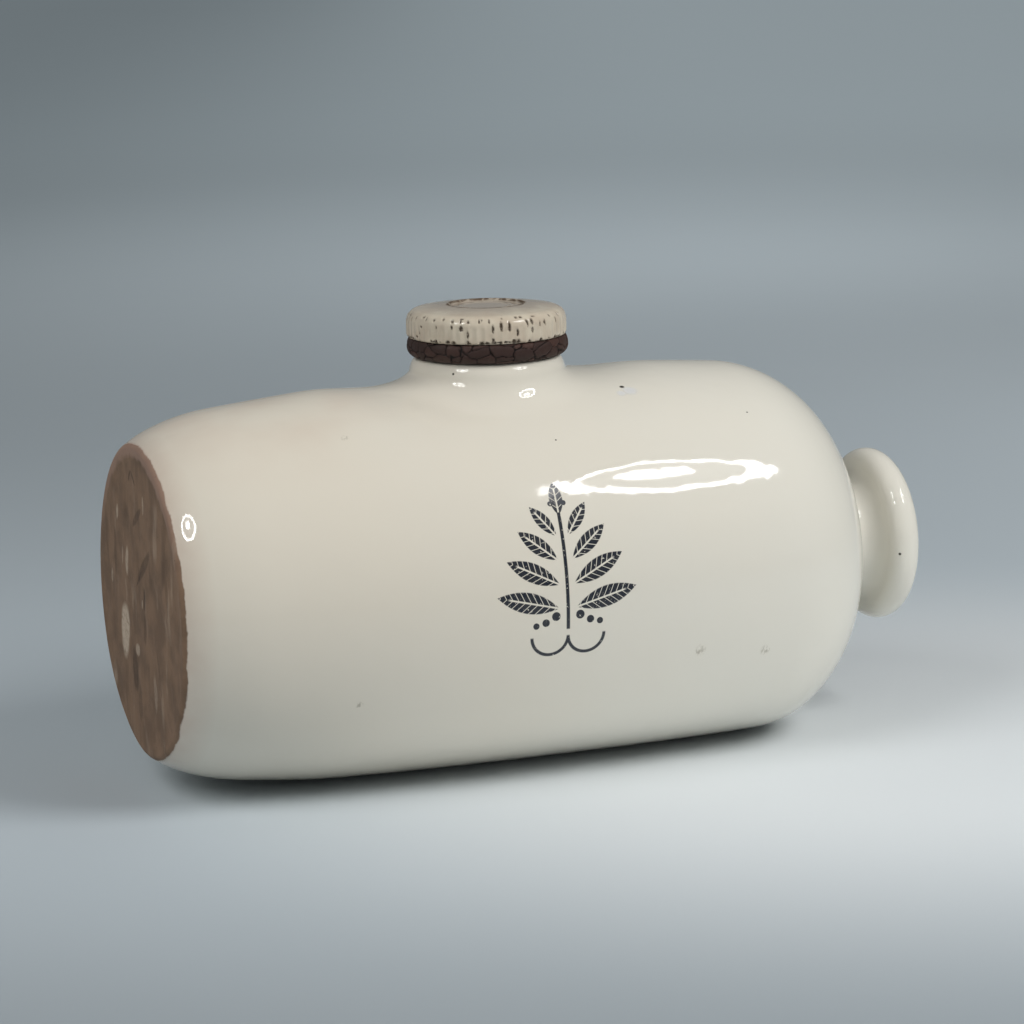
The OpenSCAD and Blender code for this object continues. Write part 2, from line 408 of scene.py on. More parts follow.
def liftBaseEdge(verts):
    # the wall rises a little more under the base
    for vert in verts:
        under = smoothStep(bottle["liftTop"], bottle["liftLow"], axisZ - vert.co.z)
        nearBase = smoothStep(bottle["liftFrom"], bottle["liftTo"], vert.co.x - baseX)
        vert.co.z += bottle["baseLift"] * under * nearBase


def openCrown(bm, faces):
    opened = []
    for face in faces:
        middle = face.calc_center_median()
        turn = math.degrees(math.atan2(middle.y, middle.z - axisZ))
        if abs(middle.x) < bottle["openHalfLength"] and abs(turn) < bottle["openHalfTurn"]:
            opened.append(face)
    bmesh.ops.delete(bm, geom=opened, context="FACES")


def onNeck(radiusOf, heightOf):
    # places a loop's points round the neck's axis without turning them
    def place(co):
        turn = math.atan2(co.y, co.x)
        radius = radiusOf(turn, math.hypot(co.x, co.y))
        x = radius * math.cos(turn)
        y = radius * math.sin(turn)
        return Vector((x, y, heightOf(turn, x, y)))
    return place


def flareWidth(turn):
    # the flare spreads further along the barrel than round it
    return bottle["flareAcross"] + (bottle["flareAlong"] - bottle["flareAcross"]) * math.cos(turn) ** 2


def growFlare(bm, loop):
    neck = bottle["neckRadius"]
    lift = math.radians(bottle["flareLift"])
    top = rimZ - bottle["rimHeight"]
    steps = bottle["flareSteps"]
    for left in range(bottle["spreadSteps"], 0, -1):
        loop = growLoop(bm, loop, onNeck(
            lambda turn, radius: radius + (neck + flareWidth(turn) - radius) / left,
            lambda turn, x, y: skinHeight(x, y)))
    for i in range(1, steps + 1):
        bend = math.pi / 2 + (lift - math.pi / 2) * i / steps
        outward = 1 - math.cos(bend) / math.cos(lift)
        share = (1 - math.sin(bend)) / (1 - math.sin(lift))
        loop = growLoop(bm, loop, onNeck(
            lambda turn, radius: neck + flareWidth(turn) * outward,
            lambda turn, x, y: skinHeight(x, y) + share * (
                top - skinHeight(neck * math.cos(turn), neck * math.sin(turn)))))
    return loop


def boreAt(turn, height):
    crest = thread["crest"] + thread["clearance"]
    root = thread["root"] + thread["clearance"]
    groove = smoothStep(root, crest, abs(threadOffset(turn, height)))
    ridge = (1 - groove) * smoothStep(0, thread["mouthFade"], rimZ - height)
    return grooveRadius - thread["depth"] * ridge


def growNeck(bm, loop):
    lip = bottle["mouthRound"]
    mouth = grooveRadius + lip
    collar = bottle["neckRadius"] - lip
    lean = math.radians(bottle["rimLean"])
    steps = bottle["rimSteps"]
    path = []
    for i in range(1, steps + 1):
        bend = lean + (math.pi / 2 - lean) * i / steps
        inward = 1 - math.cos(bend) / math.cos(lean)
        upward = (math.sin(bend) - math.sin(lean)) / (1 - math.sin(lean))
        radius = bottle["neckRadius"] - bottle["rimWidth"] * inward
        path.append((radius, rimZ - bottle["rimHeight"] * (1 - upward)))
    path += line(path[-1], (mouth, rimZ), 3) + arc((mouth, rimZ - lip), lip, 90, 180, 4)[1:]
    for radius, height in path:
        loop = growLoop(bm, loop, onNeck(lambda turn, r: radius, lambda turn, x, y: height))
    for _, height in line((0, rimZ - lip), (0, neckEndZ + lip), bottle["boreSteps"]):
        loop = growLoop(bm, loop, onNeck(lambda turn, r: boreAt(turn, height), lambda turn, x, y: height))
    path = arc((mouth, neckEndZ + lip), lip, 180, 270, 3)[1:] + line((mouth, neckEndZ), (collar, neckEndZ), 3)
    for radius, height in path:
        loop = growLoop(bm, loop, onNeck(lambda turn, r: radius, lambda turn, x, y: height))
    for share in (0.5, 1):
        loop = growLoop(bm, loop, onNeck(
            lambda turn, r: collar,
            lambda turn, x, y: neckEndZ + (crownHeight(x, y, bottle["wall"]) - neckEndZ) * share))
    for extra in (2, 5):
        loop = growLoop(bm, loop, onNeck(
            lambda turn, r: collar + extra,
            lambda turn, x, y: crownHeight(x, y, bottle["wall"])))
    return loop


def weatherSkin(bm):
    # a slightly wavy thrown wall, and the rough face of the bare base
    for vert in bm.verts:
        co = vert.co
        radius = math.hypot(co.y, co.z - axisZ)
        if co.x < baseX + 0.2 and radius < baseRadius:
            rough = noise.fractal(co / bottle["roughSize"], 1.0, 2.0, 4)
            drag = noise.noise(Vector((0, co.y / 4, co.z / 18)))
            depth = max(0, bottle["roughDepth"] + bottle["roughSpread"] * rough + bottle["dragDepth"] * drag)
            vert.co.x += depth * smoothStep(baseRadius, baseRadius - bottle["roughFade"], radius)
        elif radius > bottle["waveFrom"]:
            wave = 0.5 + 0.5 * noise.noise(co / bottle["wavinessSize"])
            hold = smoothStep(*bottle["waveFloor"], co.z) * smoothStep(*bottle["waveBase"], co.x - baseX)
            if co.z > axisZ:
                hold *= smoothStep(*bottle["waveNeck"], math.hypot(co.x, co.y))
            shrink = 1 - bottle["waviness"] * wave * hold / radius
            vert.co.y = co.y * shrink
            vert.co.z = axisZ + (co.z - axisZ) * shrink


def makeBottle(material):
    bm = bmesh.new()
    spinOnBarrelAxis(bm, outerOutline())
    squashUnder(bm.verts, 0)
    liftBaseEdge(bm.verts)
    openCrown(bm, bm.faces)
    for vert in bm.verts:
        if vert.co.z > axisZ:
            vert.co.z -= dipAt(vert.co.x, vert.co.y)
    loop = growFlare(bm, [e for e in bm.edges if e.is_boundary])
    weatherSkin(bm)
    loop = growNeck(bm, loop)
    outerVerts = set(bm.verts)
    outerFaces = set(bm.faces)
    spinOnBarrelAxis(bm, innerOutline())
    squashUnder([v for v in bm.verts if v not in outerVerts], bottle["wall"])
    openCrown(bm, [f for f in bm.faces if f not in outerFaces])
    bmesh.ops.bridge_loops(bm, edges=[e for e in bm.edges if e.is_boundary])
    nodes = ["barrel", "filling_neck", "end_knob"]
    finishPiece(bm, "glazedBottle", material, "bottle", nodes)


glaze = {
    "cream": paint(223, 216, 202), "coolCream": paint(221, 218, 208), "stain": paint(196, 166, 148),
    "pit": paint(62, 58, 52), "chipped": paint(212, 213, 214), "scuff": paint(150, 142, 124),
    "driftFrom": -90, "driftTo": 110, "driftWander": 120,
    "haloReach": 10, "haloShare": 0.5, "crownFrom": 38, "crownTo": 66, "crownReach": 118, "crownShare": 0.36,
    "pinholeGap": 13, "gloss": 0.035, "glossSpread": 0.035, "ripple": 0.9, "rippleSize": 13,
    # flaws as x, y, height over the axis and reach
    "pits": [
        (37.8, -22.6, 61.1, 1.0), (-18.0, -17.3, 68.7, 0.5), (6.5, -43.2, 49.4, 0.35),
        (75.5, -37.0, 52.0, 0.35), (135.5, -28.0, -2.1, 0.6), (-20, 40, 51, 0.6), (58, 55, 36, 0.5),
    ],
    "chips": [(39.4, -25.6, 60.6, 3.2), (36.0, -26.6, 60.4, 2.2)],
    "scuffs": [
        (46.5, -62.9, -18.5, 2.4), (70.3, -60.6, -21.4, 2.2), (-65.6, -57.7, -25.3, 1.6),
        (-60.0, -33.5, 53.9, 1.6), (20, 60, 24, 2.6), (-74, 52, 33, 2.0),
    ],
}

clay = {
    "colour": paint(137, 110, 88), "dark": paint(72, 56, 44), "light": paint(196, 178, 158),
    "edge": paint(166, 136, 120), "reach": 1.1, "edgeSoft": 0.25, "mottleSize": 13, "grainSize": 0.9,
    # marks of the base as y, height over the axis, half length, half width, turn and strength
    "darkMarks": [
        (8.2, 40.2, 2.9, 0.55, -52, 0.9), (3.4, 40.2, 3.8, 0.55, 37, 0.9), (0.6, 28.0, 7.4, 1.6, -33, 0.55),
        (-5.2, 13.0, 12.0, 2.2, -36, 0.55), (0.6, 8.6, 5.4, 0.7, -40, 0.8), (-5.0, 2.6, 4.4, 1.5, 90, 0.75),
        (-4.2, -7.0, 6.0, 1.8, 90, 0.4), (9.8, -23.0, 8.5, 3.6, 84, 0.6), (5.0, -33.0, 7.0, 2.8, 95, 0.4),
        (-20.0, -16.0, 5.0, 1.2, 75, 0.35), (-33.0, 8.0, 7.0, 1.4, 85, 0.3), (30.0, 12.0, 9.0, 2.0, 95, 0.35),
    ],
    "lightMarks": [
        (25.4, 25.7, 3.2, 1.3, 105, 0.6), (-7.1, 33.0, 3.4, 1.0, 92, 0.5), (14.9, 11.6, 5.6, 2.0, 97, 0.65),
        (20.6, 12.5, 3.6, 1.0, 95, 0.35), (21.0, -12.5, 10.6, 5.8, 102, 1.0), (6.1, -15.9, 2.4, 2.6, 60, 0.6),
        (-2.0, 0.5, 1.8, 0.8, 95, 0.6), (35.5, 3.0, 2.8, 1.2, 95, 0.4), (-14.0, -26.0, 7.0, 2.2, 88, 0.3),
    ],
}

# a printed spray of leaves on the front, as distances from its middle along and up the wall
spray = {
    "x": 0.5, "turn": 11.8, "ink": paint(36, 40, 50), "stemHalf": 0.55, "stemLow": -20, "stemHigh": 17,
    # leaves as out from the stem, up, half length, half width and turn, mirrored on the stem
    "leaves": [
        (13.0, -10.6, 10.4, 3.3, 14), (10.8, -1.4, 9.4, 3.0, 27),
        (8.4, 7.0, 7.8, 2.6, 40), (5.6, 14.6, 6.2, 2.1, 54),
    ],
    "bud": (0, 21.5, 5.6, 2.2, 90),
    "berries": [(4.0, -15.6, 1.5), (7.4, -17.4, 1.3), (10.6, -18.2, 1.1), (2.2, 20.0, 0.9)],
    "tendril": (6.0, -22.0, 6.0, 0.5),
}


def printSpray(place, x, y, up):
    s = spray
    across = x - s["x"]
    rise = (up.math("ARCTAN2", up, y * -1) - math.radians(s["turn"])) * bellyRadius
    aside = abs(across)
    marks = []
    for out, high, length, width, turn in s["leaves"]:
        marks.append(leaf(aside, rise, (out, high), (length, width), turn))
    out, high, length, width, turn = s["bud"]
    marks.append(leaf(across, rise, (out, high), (length, width), turn))
    for out, high, radius in s["berries"]:
        marks.append(smear(aside, rise, (out, high), (radius, radius), 0, 0.2))
    stem = aside.step(s["stemHalf"] + 0.15, s["stemHalf"] - 0.1)
    stem = stem * rise.step(s["stemLow"] - 0.2, s["stemLow"] + 0.2)
    marks.append(stem * rise.step(s["stemHigh"] + 0.2, s["stemHigh"] - 0.2))
    out, high, radius, width = s["tendril"]
    side = aside - out
    lift = rise - high
    tendril = abs((side * side + lift * lift).root() - radius).step(width + 0.15, width - 0.1)
    marks.append(tendril * rise.step(high + 0.3, high - 0.3))
    onFront = y.step(-20, -30)
    worn = place.noise(0.9, 3, 0.6).step(0.26, 0.38)
    return most(marks) * worn * onFront


def smears(y, up, marks):
    return most([smear(y, up, (a, b), (c, d), turn) * share for a, b, c, d, turn, share in marks])


def bareClay(place, y, up):
    mottle = place.noise(clay["mottleSize"], 5, 0.6)
    streak = place.stretched(0.1, 0.12, 0.04).noise(1, 4, 0.55)
    colour = (mottle.step(0.62, 0.36) * 0.4).mix(clay["colour"], clay["dark"])
    colour = (streak.step(0.48, 0.3) * 0.35).mix(colour, clay["dark"])
    colour = (streak.step(0.56, 0.72) * 0.3).mix(colour, clay["light"])
    broken = place.noise(1.8, 3, 0.6).step(0.3, 0.55)
    rim = (y * y + up * up).root() + place.noise(4, 2) * 3
    rim = rim.step(baseRadius - 2.6, baseRadius - 0.4)
    colour = (rim * up.step(10, 45) * 0.7).mix(colour, clay["edge"])
    light = smears(y, up, clay["lightMarks"])
    colour = (light * (0.4 + 0.6 * broken)).mix(colour, clay["light"])
    dark = smears(y, up, clay["darkMarks"])
    colour = (dark * (0.55 + 0.45 * broken)).mix(colour, clay["dark"])
    specks = place.noise(clay["grainSize"], 2, 0.5).step(0.7, 0.76) * 0.6
    colour = specks.mix(colour, clay["dark"])
    grain = place.noise(clay["grainSize"], 4, 0.65) * 0.7 + mottle * 0.8 - dark * 0.9 - specks * 0.4
    return colour, 0.78 + 0.15 * mottle, grain


def flaws(place, spots, uneven, core):
    # ragged round spots, which are full inside their core
    masks = []
    for x, y, up, reach in spots:
        masks.append((place.gap((x, y, axisZ + up)) + uneven).step(reach, reach * core))
    return most(masks)


def makeGlaze():
    material, place = startMaterial("creamGlaze")
    x, y, z = place.axes()
    up = z - axisZ
    fromBase = x - baseX
    # cream that drifts from warm at the base to cool at the knob
    wander = glaze["driftWander"] * place.noise(60, 2) - glaze["driftWander"] / 2
    drift = (x + wander).step(glaze["driftFrom"], glaze["driftTo"])
    colour = drift.mix(glaze["cream"], glaze["coolCream"])
    # a pinkish stain drawn out of the bare clay
    halo = (1 - fromBase / glaze["haloReach"]).most(0) * (0.25 + place.noise(9, 3))
    crown = up.step(glaze["crownFrom"], glaze["crownTo"]) * fromBase.step(glaze["crownReach"], 8)
    crown = crown * place.noise(24, 2).step(0.25, 0.75) * glaze["crownShare"]
    colour = (halo * glaze["haloShare"]).most(crown).least(1).mix(colour, glaze["stain"])
    # pits, chips and scuffs at their places, then a few scattered pinholes
    uneven = place.noise(1.4, 3, 0.6) * 1.6 - 0.8
    pits = flaws(place, glaze["pits"], uneven * 0.25, 0.55)
    chips = flaws(place, glaze["chips"], uneven, 0.4)
    scuffs = flaws(place, glaze["scuffs"], uneven * 1.4, 0.3)
    cells = place.node("ShaderNodeTexVoronoi", {}, {"Vector": place, "Scale": 1 / glaze["pinholeGap"]})
    tint = Wire(place.tree, cells.socket.node.outputs["Color"]).axes()[0]
    pits = pits.most(cells.step(0.03, 0.014) * tint.step(0.86, 0.88) * 0.6)
    colour = (chips * 0.85).mix(colour, glaze["chipped"])
    rubbed = place.stretched(1, 1, 0.35).noise(0.7, 2).step(0.42, 0.62)
    colour = (scuffs * rubbed * 0.6).mix(colour, glaze["scuff"])
    ink = printSpray(place, x, y, up)
    colour = ink.mix(colour, (0.9 + 0.15 * place.noise(2.4, 3)).least(1).mix(glaze["scuff"], spray["ink"]))
    colour = pits.mix(colour, glaze["pit"])
    # bare clay on the base, with a ragged edge
    ragged = place.noise(9, 2) * 1.6 + place.noise(1.2, 2) * 0.6 - 1.1
    bare = (fromBase + ragged).step(clay["reach"] + clay["edgeSoft"], clay["reach"] - clay["edgeSoft"])
    earth, earthRoughness, grain = bareClay(place, y, up)
    colour = bare.mix(colour, earth)
    shine = glaze["gloss"] + glaze["glossSpread"] * place.noise(20, 3)
    shine = shine + 0.3 * chips + 0.1 * scuffs + 0.12 * ink
    roughness = bare * earthRoughness + (1 - bare) * shine
    ripple = place.noise(glaze["rippleSize"], 2) * glaze["ripple"] + place.noise(3, 2) * 0.05
    ripple = ripple - pits - 0.3 * chips
    endMaterial(place, colour, roughness, (1 - bare) * ripple + bare * grain, 0.35, 0.5, IOR=1.52)
    return material


makeBottle(makeGlaze())


# the screw stopper, with its flutes, chips and thread

stopper = {
    "headRadius": 26, "headRound": 4.0, "headLean": 10, "headLowRound": 1, "topFall": 1.25,
    "roundelRadius": 11.4, "roundelDepth": 0.8, "roundelWall": 0.9,
    "beadFrom": 7, "beadTo": 9.4, "beadHeight": 0.3,
    "shankRadius": 16.6, "shankBevel": 1.5, "shankFillet": 0.3,
    "flutes": 60, "fluteDepth": 0.32, "fluteFadeFrom": 2.0, "fluteFadeTo": 4.4, "turnSteps": 600,
    "chipSeed": 11, "chipDepth": 0.35, "backChips": 44, "strayChips": 20, "highShare": 0.62, "lowChips": 100,
    "frontAt": -110.7,  # the turn that faces the camera
    # chips as turn from the front in degrees, height over the seat, half width and half length
    "chips": [
        (-53, 8.0, 0.5, 0.4), (-49, 7.6, 0.3, 0.6), (-41, 7.5, 0.5, 0.4), (-33, 7.9, 0.4, 0.5),
        (-25, 7.5, 0.5, 0.6), (-25, 5.6, 0.4, 0.8), (-18, 8.2, 0.6, 0.3), (-18, 5.2, 0.8, 1.0),
        (-13, 7.3, 0.5, 0.4), (-13, 3.2, 0.4, 1.1), (-3, 7.8, 0.3, 0.3), (5, 5.0, 0.4, 1.2),
        (5, 1.6, 0.4, 0.6), (11, 5.8, 0.5, 1.6), (17, 5.6, 0.5, 1.6), (23, 3.6, 0.4, 1.2),
        (12, 8.2, 0.3, 0.3), (23, 8.3, 0.4, 0.5), (27, 8.3, 0.6, 0.4), (31, 6.4, 0.3, 1.3),
        (35, 6.8, 0.5, 1.1), (35, 4.0, 0.3, 0.9), (38, 8.3, 0.7, 0.3), (42, 5.6, 0.3, 0.8),
        (47, 6.0, 0.3, 1.2), (54, 7.8, 0.4, 0.6), (60, 6.0, 0.3, 1.0), (66, 7.6, 0.4, 0.7),
    ],
}


headLean = math.radians(stopper["headLean"])
headEdgeZ = stopperHigh.z - stopper["topFall"]
headRoundZ = headEdgeZ - stopper["headRound"] * math.cos(headLean)
headRoundAt = (stopper["headRadius"] - stopper["headRound"], headRoundZ)


def stopperOutline():
    s = stopper
    top = stopperHigh.z
    floor = top - s["roundelDepth"]
    edge = headRoundAt[0] + s["headRound"] * math.sin(headLean)
    rim = s["roundelRadius"] + s["roundelWall"]
    lowRound = s["headLowRound"]
    shankEnd = stopperLow.z
    fillet = s["shankFillet"]
    points = [(0, floor)] + line((0, floor), (s["beadFrom"], floor), 8)
    for i in range(1, 9):
        radius = s["beadFrom"] + (s["beadTo"] - s["beadFrom"]) * i / 8
        points.append((radius, floor + s["beadHeight"] * math.sin(math.pi * i / 8) ** 2))
    points += line(points[-1], (s["roundelRadius"], floor), 5)
    for i in range(1, 7):
        radius = s["roundelRadius"] + s["roundelWall"] * i / 6
        points.append((radius, floor + s["roundelDepth"] * smoothStep(0, 6, i)))
    for radius, height in line((rim, 0), (edge, 0), 24):
        points.append((radius, top - s["topFall"] * (radius ** 2 - rim ** 2) / (edge ** 2 - rim ** 2)))
    points += arc(headRoundAt, s["headRound"], 90 - s["headLean"], 0, 12)[1:]
    points += line(points[-1], (s["headRadius"], seatZ + lowRound), 18)
    points += arc((s["headRadius"] - lowRound, seatZ + lowRound), lowRound, 0, -90, 5)[1:]
    points += line(points[-1], (s["shankRadius"] + fillet, seatZ), 5)
    points += arc((s["shankRadius"] + fillet, seatZ - fillet), fillet, 90, 180, 3)[1:]
    points += line(points[-1], (s["shankRadius"], shankEnd + s["shankBevel"]), 46)
    points += line(points[-1], (s["shankRadius"] - s["shankBevel"], shankEnd), 4)
    return points + line(points[-1], (0, shankEnd), 5)


def cutFlutesAndThread(bm):
    s = stopper
    threadLow = stopperLow.z + s["shankBevel"] + thread["root"]
    threadHigh = rimZ - thread["root"] - thread["clearance"]
    for vert in bm.verts:
        co = vert.co
        radius = math.hypot(co.x, co.y)
        turn = math.atan2(co.y, co.x)
        change = 0
        if co.z > seatZ - 0.01 and radius > headRoundAt[0] - 0.5:
            fade = smoothStep(s["fluteFadeFrom"], s["fluteFadeTo"], headEdgeZ - co.z)
            groove = (0.5 + 0.5 * math.cos(s["flutes"] * turn)) ** 0.8
            wander = 0.8 + 0.35 * noise.noise(Vector((co.x / 4, co.y / 4, 3)))
            change = -s["fluteDepth"] * groove * wander * fade
        elif co.z < seatZ and abs(radius - s["shankRadius"]) < 0.01:
            offset = threadOffset(turn, co.z)
            middle = co.z - offset
            runOut = thread["runOut"]
            ends = smoothStep(0, runOut, middle - threadLow) * smoothStep(0, runOut, threadHigh - middle)
            change = thread["depth"] * smoothStep(thread["root"], thread["crest"], abs(offset)) * ends
        if change:
            vert.co.x += change * math.cos(turn)
            vert.co.y += change * math.sin(turn)


def chipList():
    # the chips of the front, then others scattered over the back, all round and along the low edge
    s = stopper
    chips = [(math.radians(s["frontAt"] + turn), *rest) for turn, *rest in s["chips"]]
    draw = random.Random(s["chipSeed"])
    headHeight = headEdgeZ - seatZ
    for i in range(s["backChips"] + s["strayChips"]):
        turn = draw.uniform(-20, 200) if i < s["backChips"] else draw.uniform(-180, 180)
        high = draw.random() < s["highShare"]
        height = draw.gauss(headHeight - 1.4, 0.5) if high else draw.uniform(1.2, headHeight - 2.0)
        chips.append((math.radians(turn), height, draw.uniform(0.2, 0.45), draw.uniform(0.3, 1.0)))
    for i in range(s["lowChips"]):
        turn = draw.uniform(-math.pi, math.pi)
        chips.append((turn, draw.uniform(0.0, 0.6), draw.uniform(0.3, 0.9), draw.uniform(0.3, 1.1)))
    return chips


def headPoint(turn, height):
    over = max(0, min(stopper["headRound"], seatZ + height - headRoundAt[1]))
    radius = headRoundAt[0] + math.sqrt(stopper["headRound"] ** 2 - over ** 2)
    return Vector((radius * math.cos(turn), radius * math.sin(turn), seatZ + height))


def knockChips(bm):
    chipped = bm.verts.layers.float.new("chip")
    verts = list(bm.verts)
    tree = kdtree.KDTree(len(verts))
    for i, vert in enumerate(verts):
        tree.insert(vert.co, i)
    tree.balance()
    dents = {}
    for turn, height, halfWidth, halfLength in chipList():
        middle = headPoint(turn, height)
        along = Vector((-math.sin(turn), math.cos(turn), 0))
        for co, i, gap in tree.find_range(middle, 1.6 * max(halfWidth, halfLength) + 0.3):
            if co.z < seatZ - 0.05:
                continue
            offset = co - middle
            across = offset.dot(along)
            down = math.sqrt(max(0, offset.length_squared - across ** 2))
            reach = math.hypot(across / halfWidth, down / halfLength) + 0.35 * noise.noise(co * 2.2)
            mask = smoothStep(1.2, 0.75, reach)
            dents[i] = max(dents.get(i, 0), mask)
    bm.normal_update()
    for i, mask in dents.items():
        verts[i][chipped] = mask
        verts[i].co -= verts[i].normal * (stopper["chipDepth"] * mask)


def makeStopper(material):
    bm = bmesh.new()
    points = [(radius, 0, height) for radius, height in stopperOutline()]
    spinOutline(bm, points, (0, 0, 0), (0, 0, 1), stopper["turnSteps"])
    bmesh.ops.recalc_face_normals(bm, faces=bm.faces)
    cutFlutesAndThread(bm)
    knockChips(bm)
    finishPiece(bm, "screwStopper", material, "stopper", ["screw_stopper"])


wornGlaze = {
    "cream": paint(206, 196, 178), "dullCream": paint(192, 178, 160), "grime": paint(166, 155, 142),
    "chip": paint(62, 48, 34), "wear": paint(86, 68, 50), "lineAt": 12.8, "lineHalf": 0.6, "lineSoft": 0.3,
    "gloss": 0.05, "glossSpread": 0.06, "wornRough": 0.5,
}


def makeWornGlaze():
    w = wornGlaze
    material, place = startMaterial("wornStopperGlaze")
    x, y, z = place.axes()
    radius = (x * x + y * y).root()
    colour = place.noise(8, 3).step(0.3, 0.7).mix(w["cream"], w["dullCream"])
    # grime on the top, with brown wear on the roundel's edge and bead
    bead = (stopper["beadFrom"] + stopper["beadTo"]) / 2
    onTop = z.step(headEdgeZ - 0.8, headEdgeZ)
    grime = onTop * (radius + place.noise(6, 3) * 8).step(27, 18) * (0.6 + 0.4 * place.noise(5, 3))
    colour = grime.mix(colour, w["grime"])
    fromLine = abs(radius + place.noise(4, 2) - w["lineAt"])
    rimWear = fromLine.step(w["lineHalf"] + w["lineSoft"], w["lineHalf"] - w["lineSoft"])
    rimWear = rimWear * place.noise(2.6, 4, 0.6).step(0.36, 0.48)
    beadWear = abs(radius - bead).step(0.9, 0.3) * place.noise(3.4, 3, 0.6).step(0.5, 0.6) * 0.7
    topSpecks = place.noise(1.8, 3, 0.6).step(0.66, 0.72) * 0.7
    wear = (rimWear.most(beadWear).most(topSpecks) * onTop).least(1)
    colour = wear.mix(colour, w["wear"])
    chip = attribute(place, "chip") * place.noise(0.5, 2).step(0.2, 0.45)
    colour = chip.mix(colour, w["chip"])
    roughness = w["gloss"] + w["glossSpread"] * place.noise(5, 3) + w["wornRough"] * chip.most(wear)
    endMaterial(place, colour, roughness, place.noise(3, 3) * 0.4 - chip * 0.6, 0.4, 0.3, IOR=1.5)
    return material


makeStopper(makeWornGlaze())


# the perished rubber ring

ring = {
    "bore": 17.05, "outer": 26.3, "footRadius": 23.2, "headRadius": 24.7, "widestAt": 3.3, "corner": 0.3,
    "cellWidth": 5.8, "cellHeight": 4.0, "warp": 0.22, "jitter": 0.12,
    "crackWidth": 0.24, "crackDepth": 0.5, "crackFrom": 21, "crackTo": 23.5, "swell": 0.22,
    "turnSteps": 640, "offAxis": (0.28, -0.1, 0),
}


def ringOutline():
    r = ring
    widest = rimZ + r["widestAt"]
    points = line((r["bore"], rimZ + r["corner"]), (r["bore"] + r["corner"], rimZ), 2)
    points += line(points[-1], (r["footRadius"], rimZ), 8)
    for i in range(1, 19):
        bend = math.radians(90 * i / 18)
        points.append((r["footRadius"] + (r["outer"] - r["footRadius"]) * math.sin(bend),
                       widest - r["widestAt"] * math.cos(bend)))
    for i in range(1, 17):
        bend = math.radians(90 * i / 16)
        points.append((r["headRadius"] + (r["outer"] - r["headRadius"]) * math.cos(bend) ** 0.7,
                       widest + (seatZ - widest) * math.sin(bend)))
    points += line(points[-1], (r["bore"] + r["corner"], seatZ), 8)
    points += line(points[-1], (r["bore"], seatZ - r["corner"]), 2)
    return points + line(points[-1], (r["bore"], rimZ + r["corner"]), 6)[:-1]


def crackRubber(bm):
    cracked = bm.verts.layers.float.new("crack")
    toned = bm.verts.layers.float.new("tone")
    bm.normal_update()
    cell = ring["cellWidth"]
    moves = []
    for vert in bm.verts:
        co = vert.co
        warp = ring["warp"] * noise.noise(co / 1.7)
        spot = Vector((co.x / cell, co.y / cell, (co.z + warp) / ring["cellHeight"]))
        spot += Vector((ring["jitter"],) * 3) * noise.noise(co / 2.2)
        gaps, seeds = noise.voronoi(spot)
        between = (gaps[1] ** 2 - gaps[0] ** 2) / (2 * (seeds[1] - seeds[0]).length) * cell
        outside = smoothStep(ring["crackFrom"], ring["crackTo"], math.hypot(co.x, co.y))
        width = ring["crackWidth"] * (0.75 + 0.5 * noise.noise(co / 5))
        # this mask cuts the cracks and also carries the painted shade in them
        crack = smoothStep(width * 1.6, width * 0.35, between) * outside
        vert[cracked] = crack
        vert[toned] = noise.cell(seeds[0] * 7.3)
        swell = ring["swell"] * outside * (0.5 + 0.5 * noise.noise(co / 6))
        moves.append((vert, vert.normal * (-ring["crackDepth"] * crack - swell)))
    for vert, move in moves:
        vert.co += move


def makeRing(material):
    bm = bmesh.new()
    points = [(radius, 0, height) for radius, height in ringOutline()]
    spinOutline(bm, points, (0, 0, 0), (0, 0, 1), ring["turnSteps"], closed=True)
    bmesh.ops.recalc_face_normals(bm, faces=bm.faces)
    crackRubber(bm)
    # the ring sits a hair off the stopper's axis
    bmesh.ops.translate(bm, vec=ring["offAxis"], verts=bm.verts)
    finishPiece(bm, "rubberRing", material, "seal", ["sealing_ring"])


rubber = {
    "dark": paint(50, 32, 27), "brown": paint(66, 43, 36), "crack": paint(16, 11, 10),
    "bloom": paint(92, 78, 68), "bloomShare": 0.5, "rough": 0.55, "roughSpread": 0.25,
}


def makeRubber():
    material, place = startMaterial("perishedRubber")
    crack = attribute(place, "crack")
    tone = attribute(place, "tone")
    colour = (tone * 0.7 + place.noise(2.5, 4) * 0.5).least(1).mix(rubber["dark"], rubber["brown"])
    bloom = place.noise(1.4, 4, 0.65).step(0.58, 0.72) * tone * rubber["bloomShare"]
    colour = bloom.mix(colour, rubber["bloom"])
    # painted shade: the cracks are painted near black for the shade in their depth, on top of the cut
    colour = crack.mix(colour, rubber["crack"])
    roughness = rubber["rough"] + rubber["roughSpread"] * place.noise(1.2, 3) + 0.15 * crack
    height = place.noise(0.7, 4, 0.6) * 0.5 + place.noise(2, 2)
    endMaterial(place, colour, roughness, height, 0.35, 0.25, IOR=1.5)
    return material


makeRing(makeRubber())


# camera, floor and light

view = {
    "azimuth": 20.7, "elevation": 10.93, "roll": -1.23, "distance": 1117.5, "lensPixels": 3400,
    "aim": (1, 0, axisZ), "aimPixel": (494.6, 569.7), "frame": 1024, "sensor": 36,
}


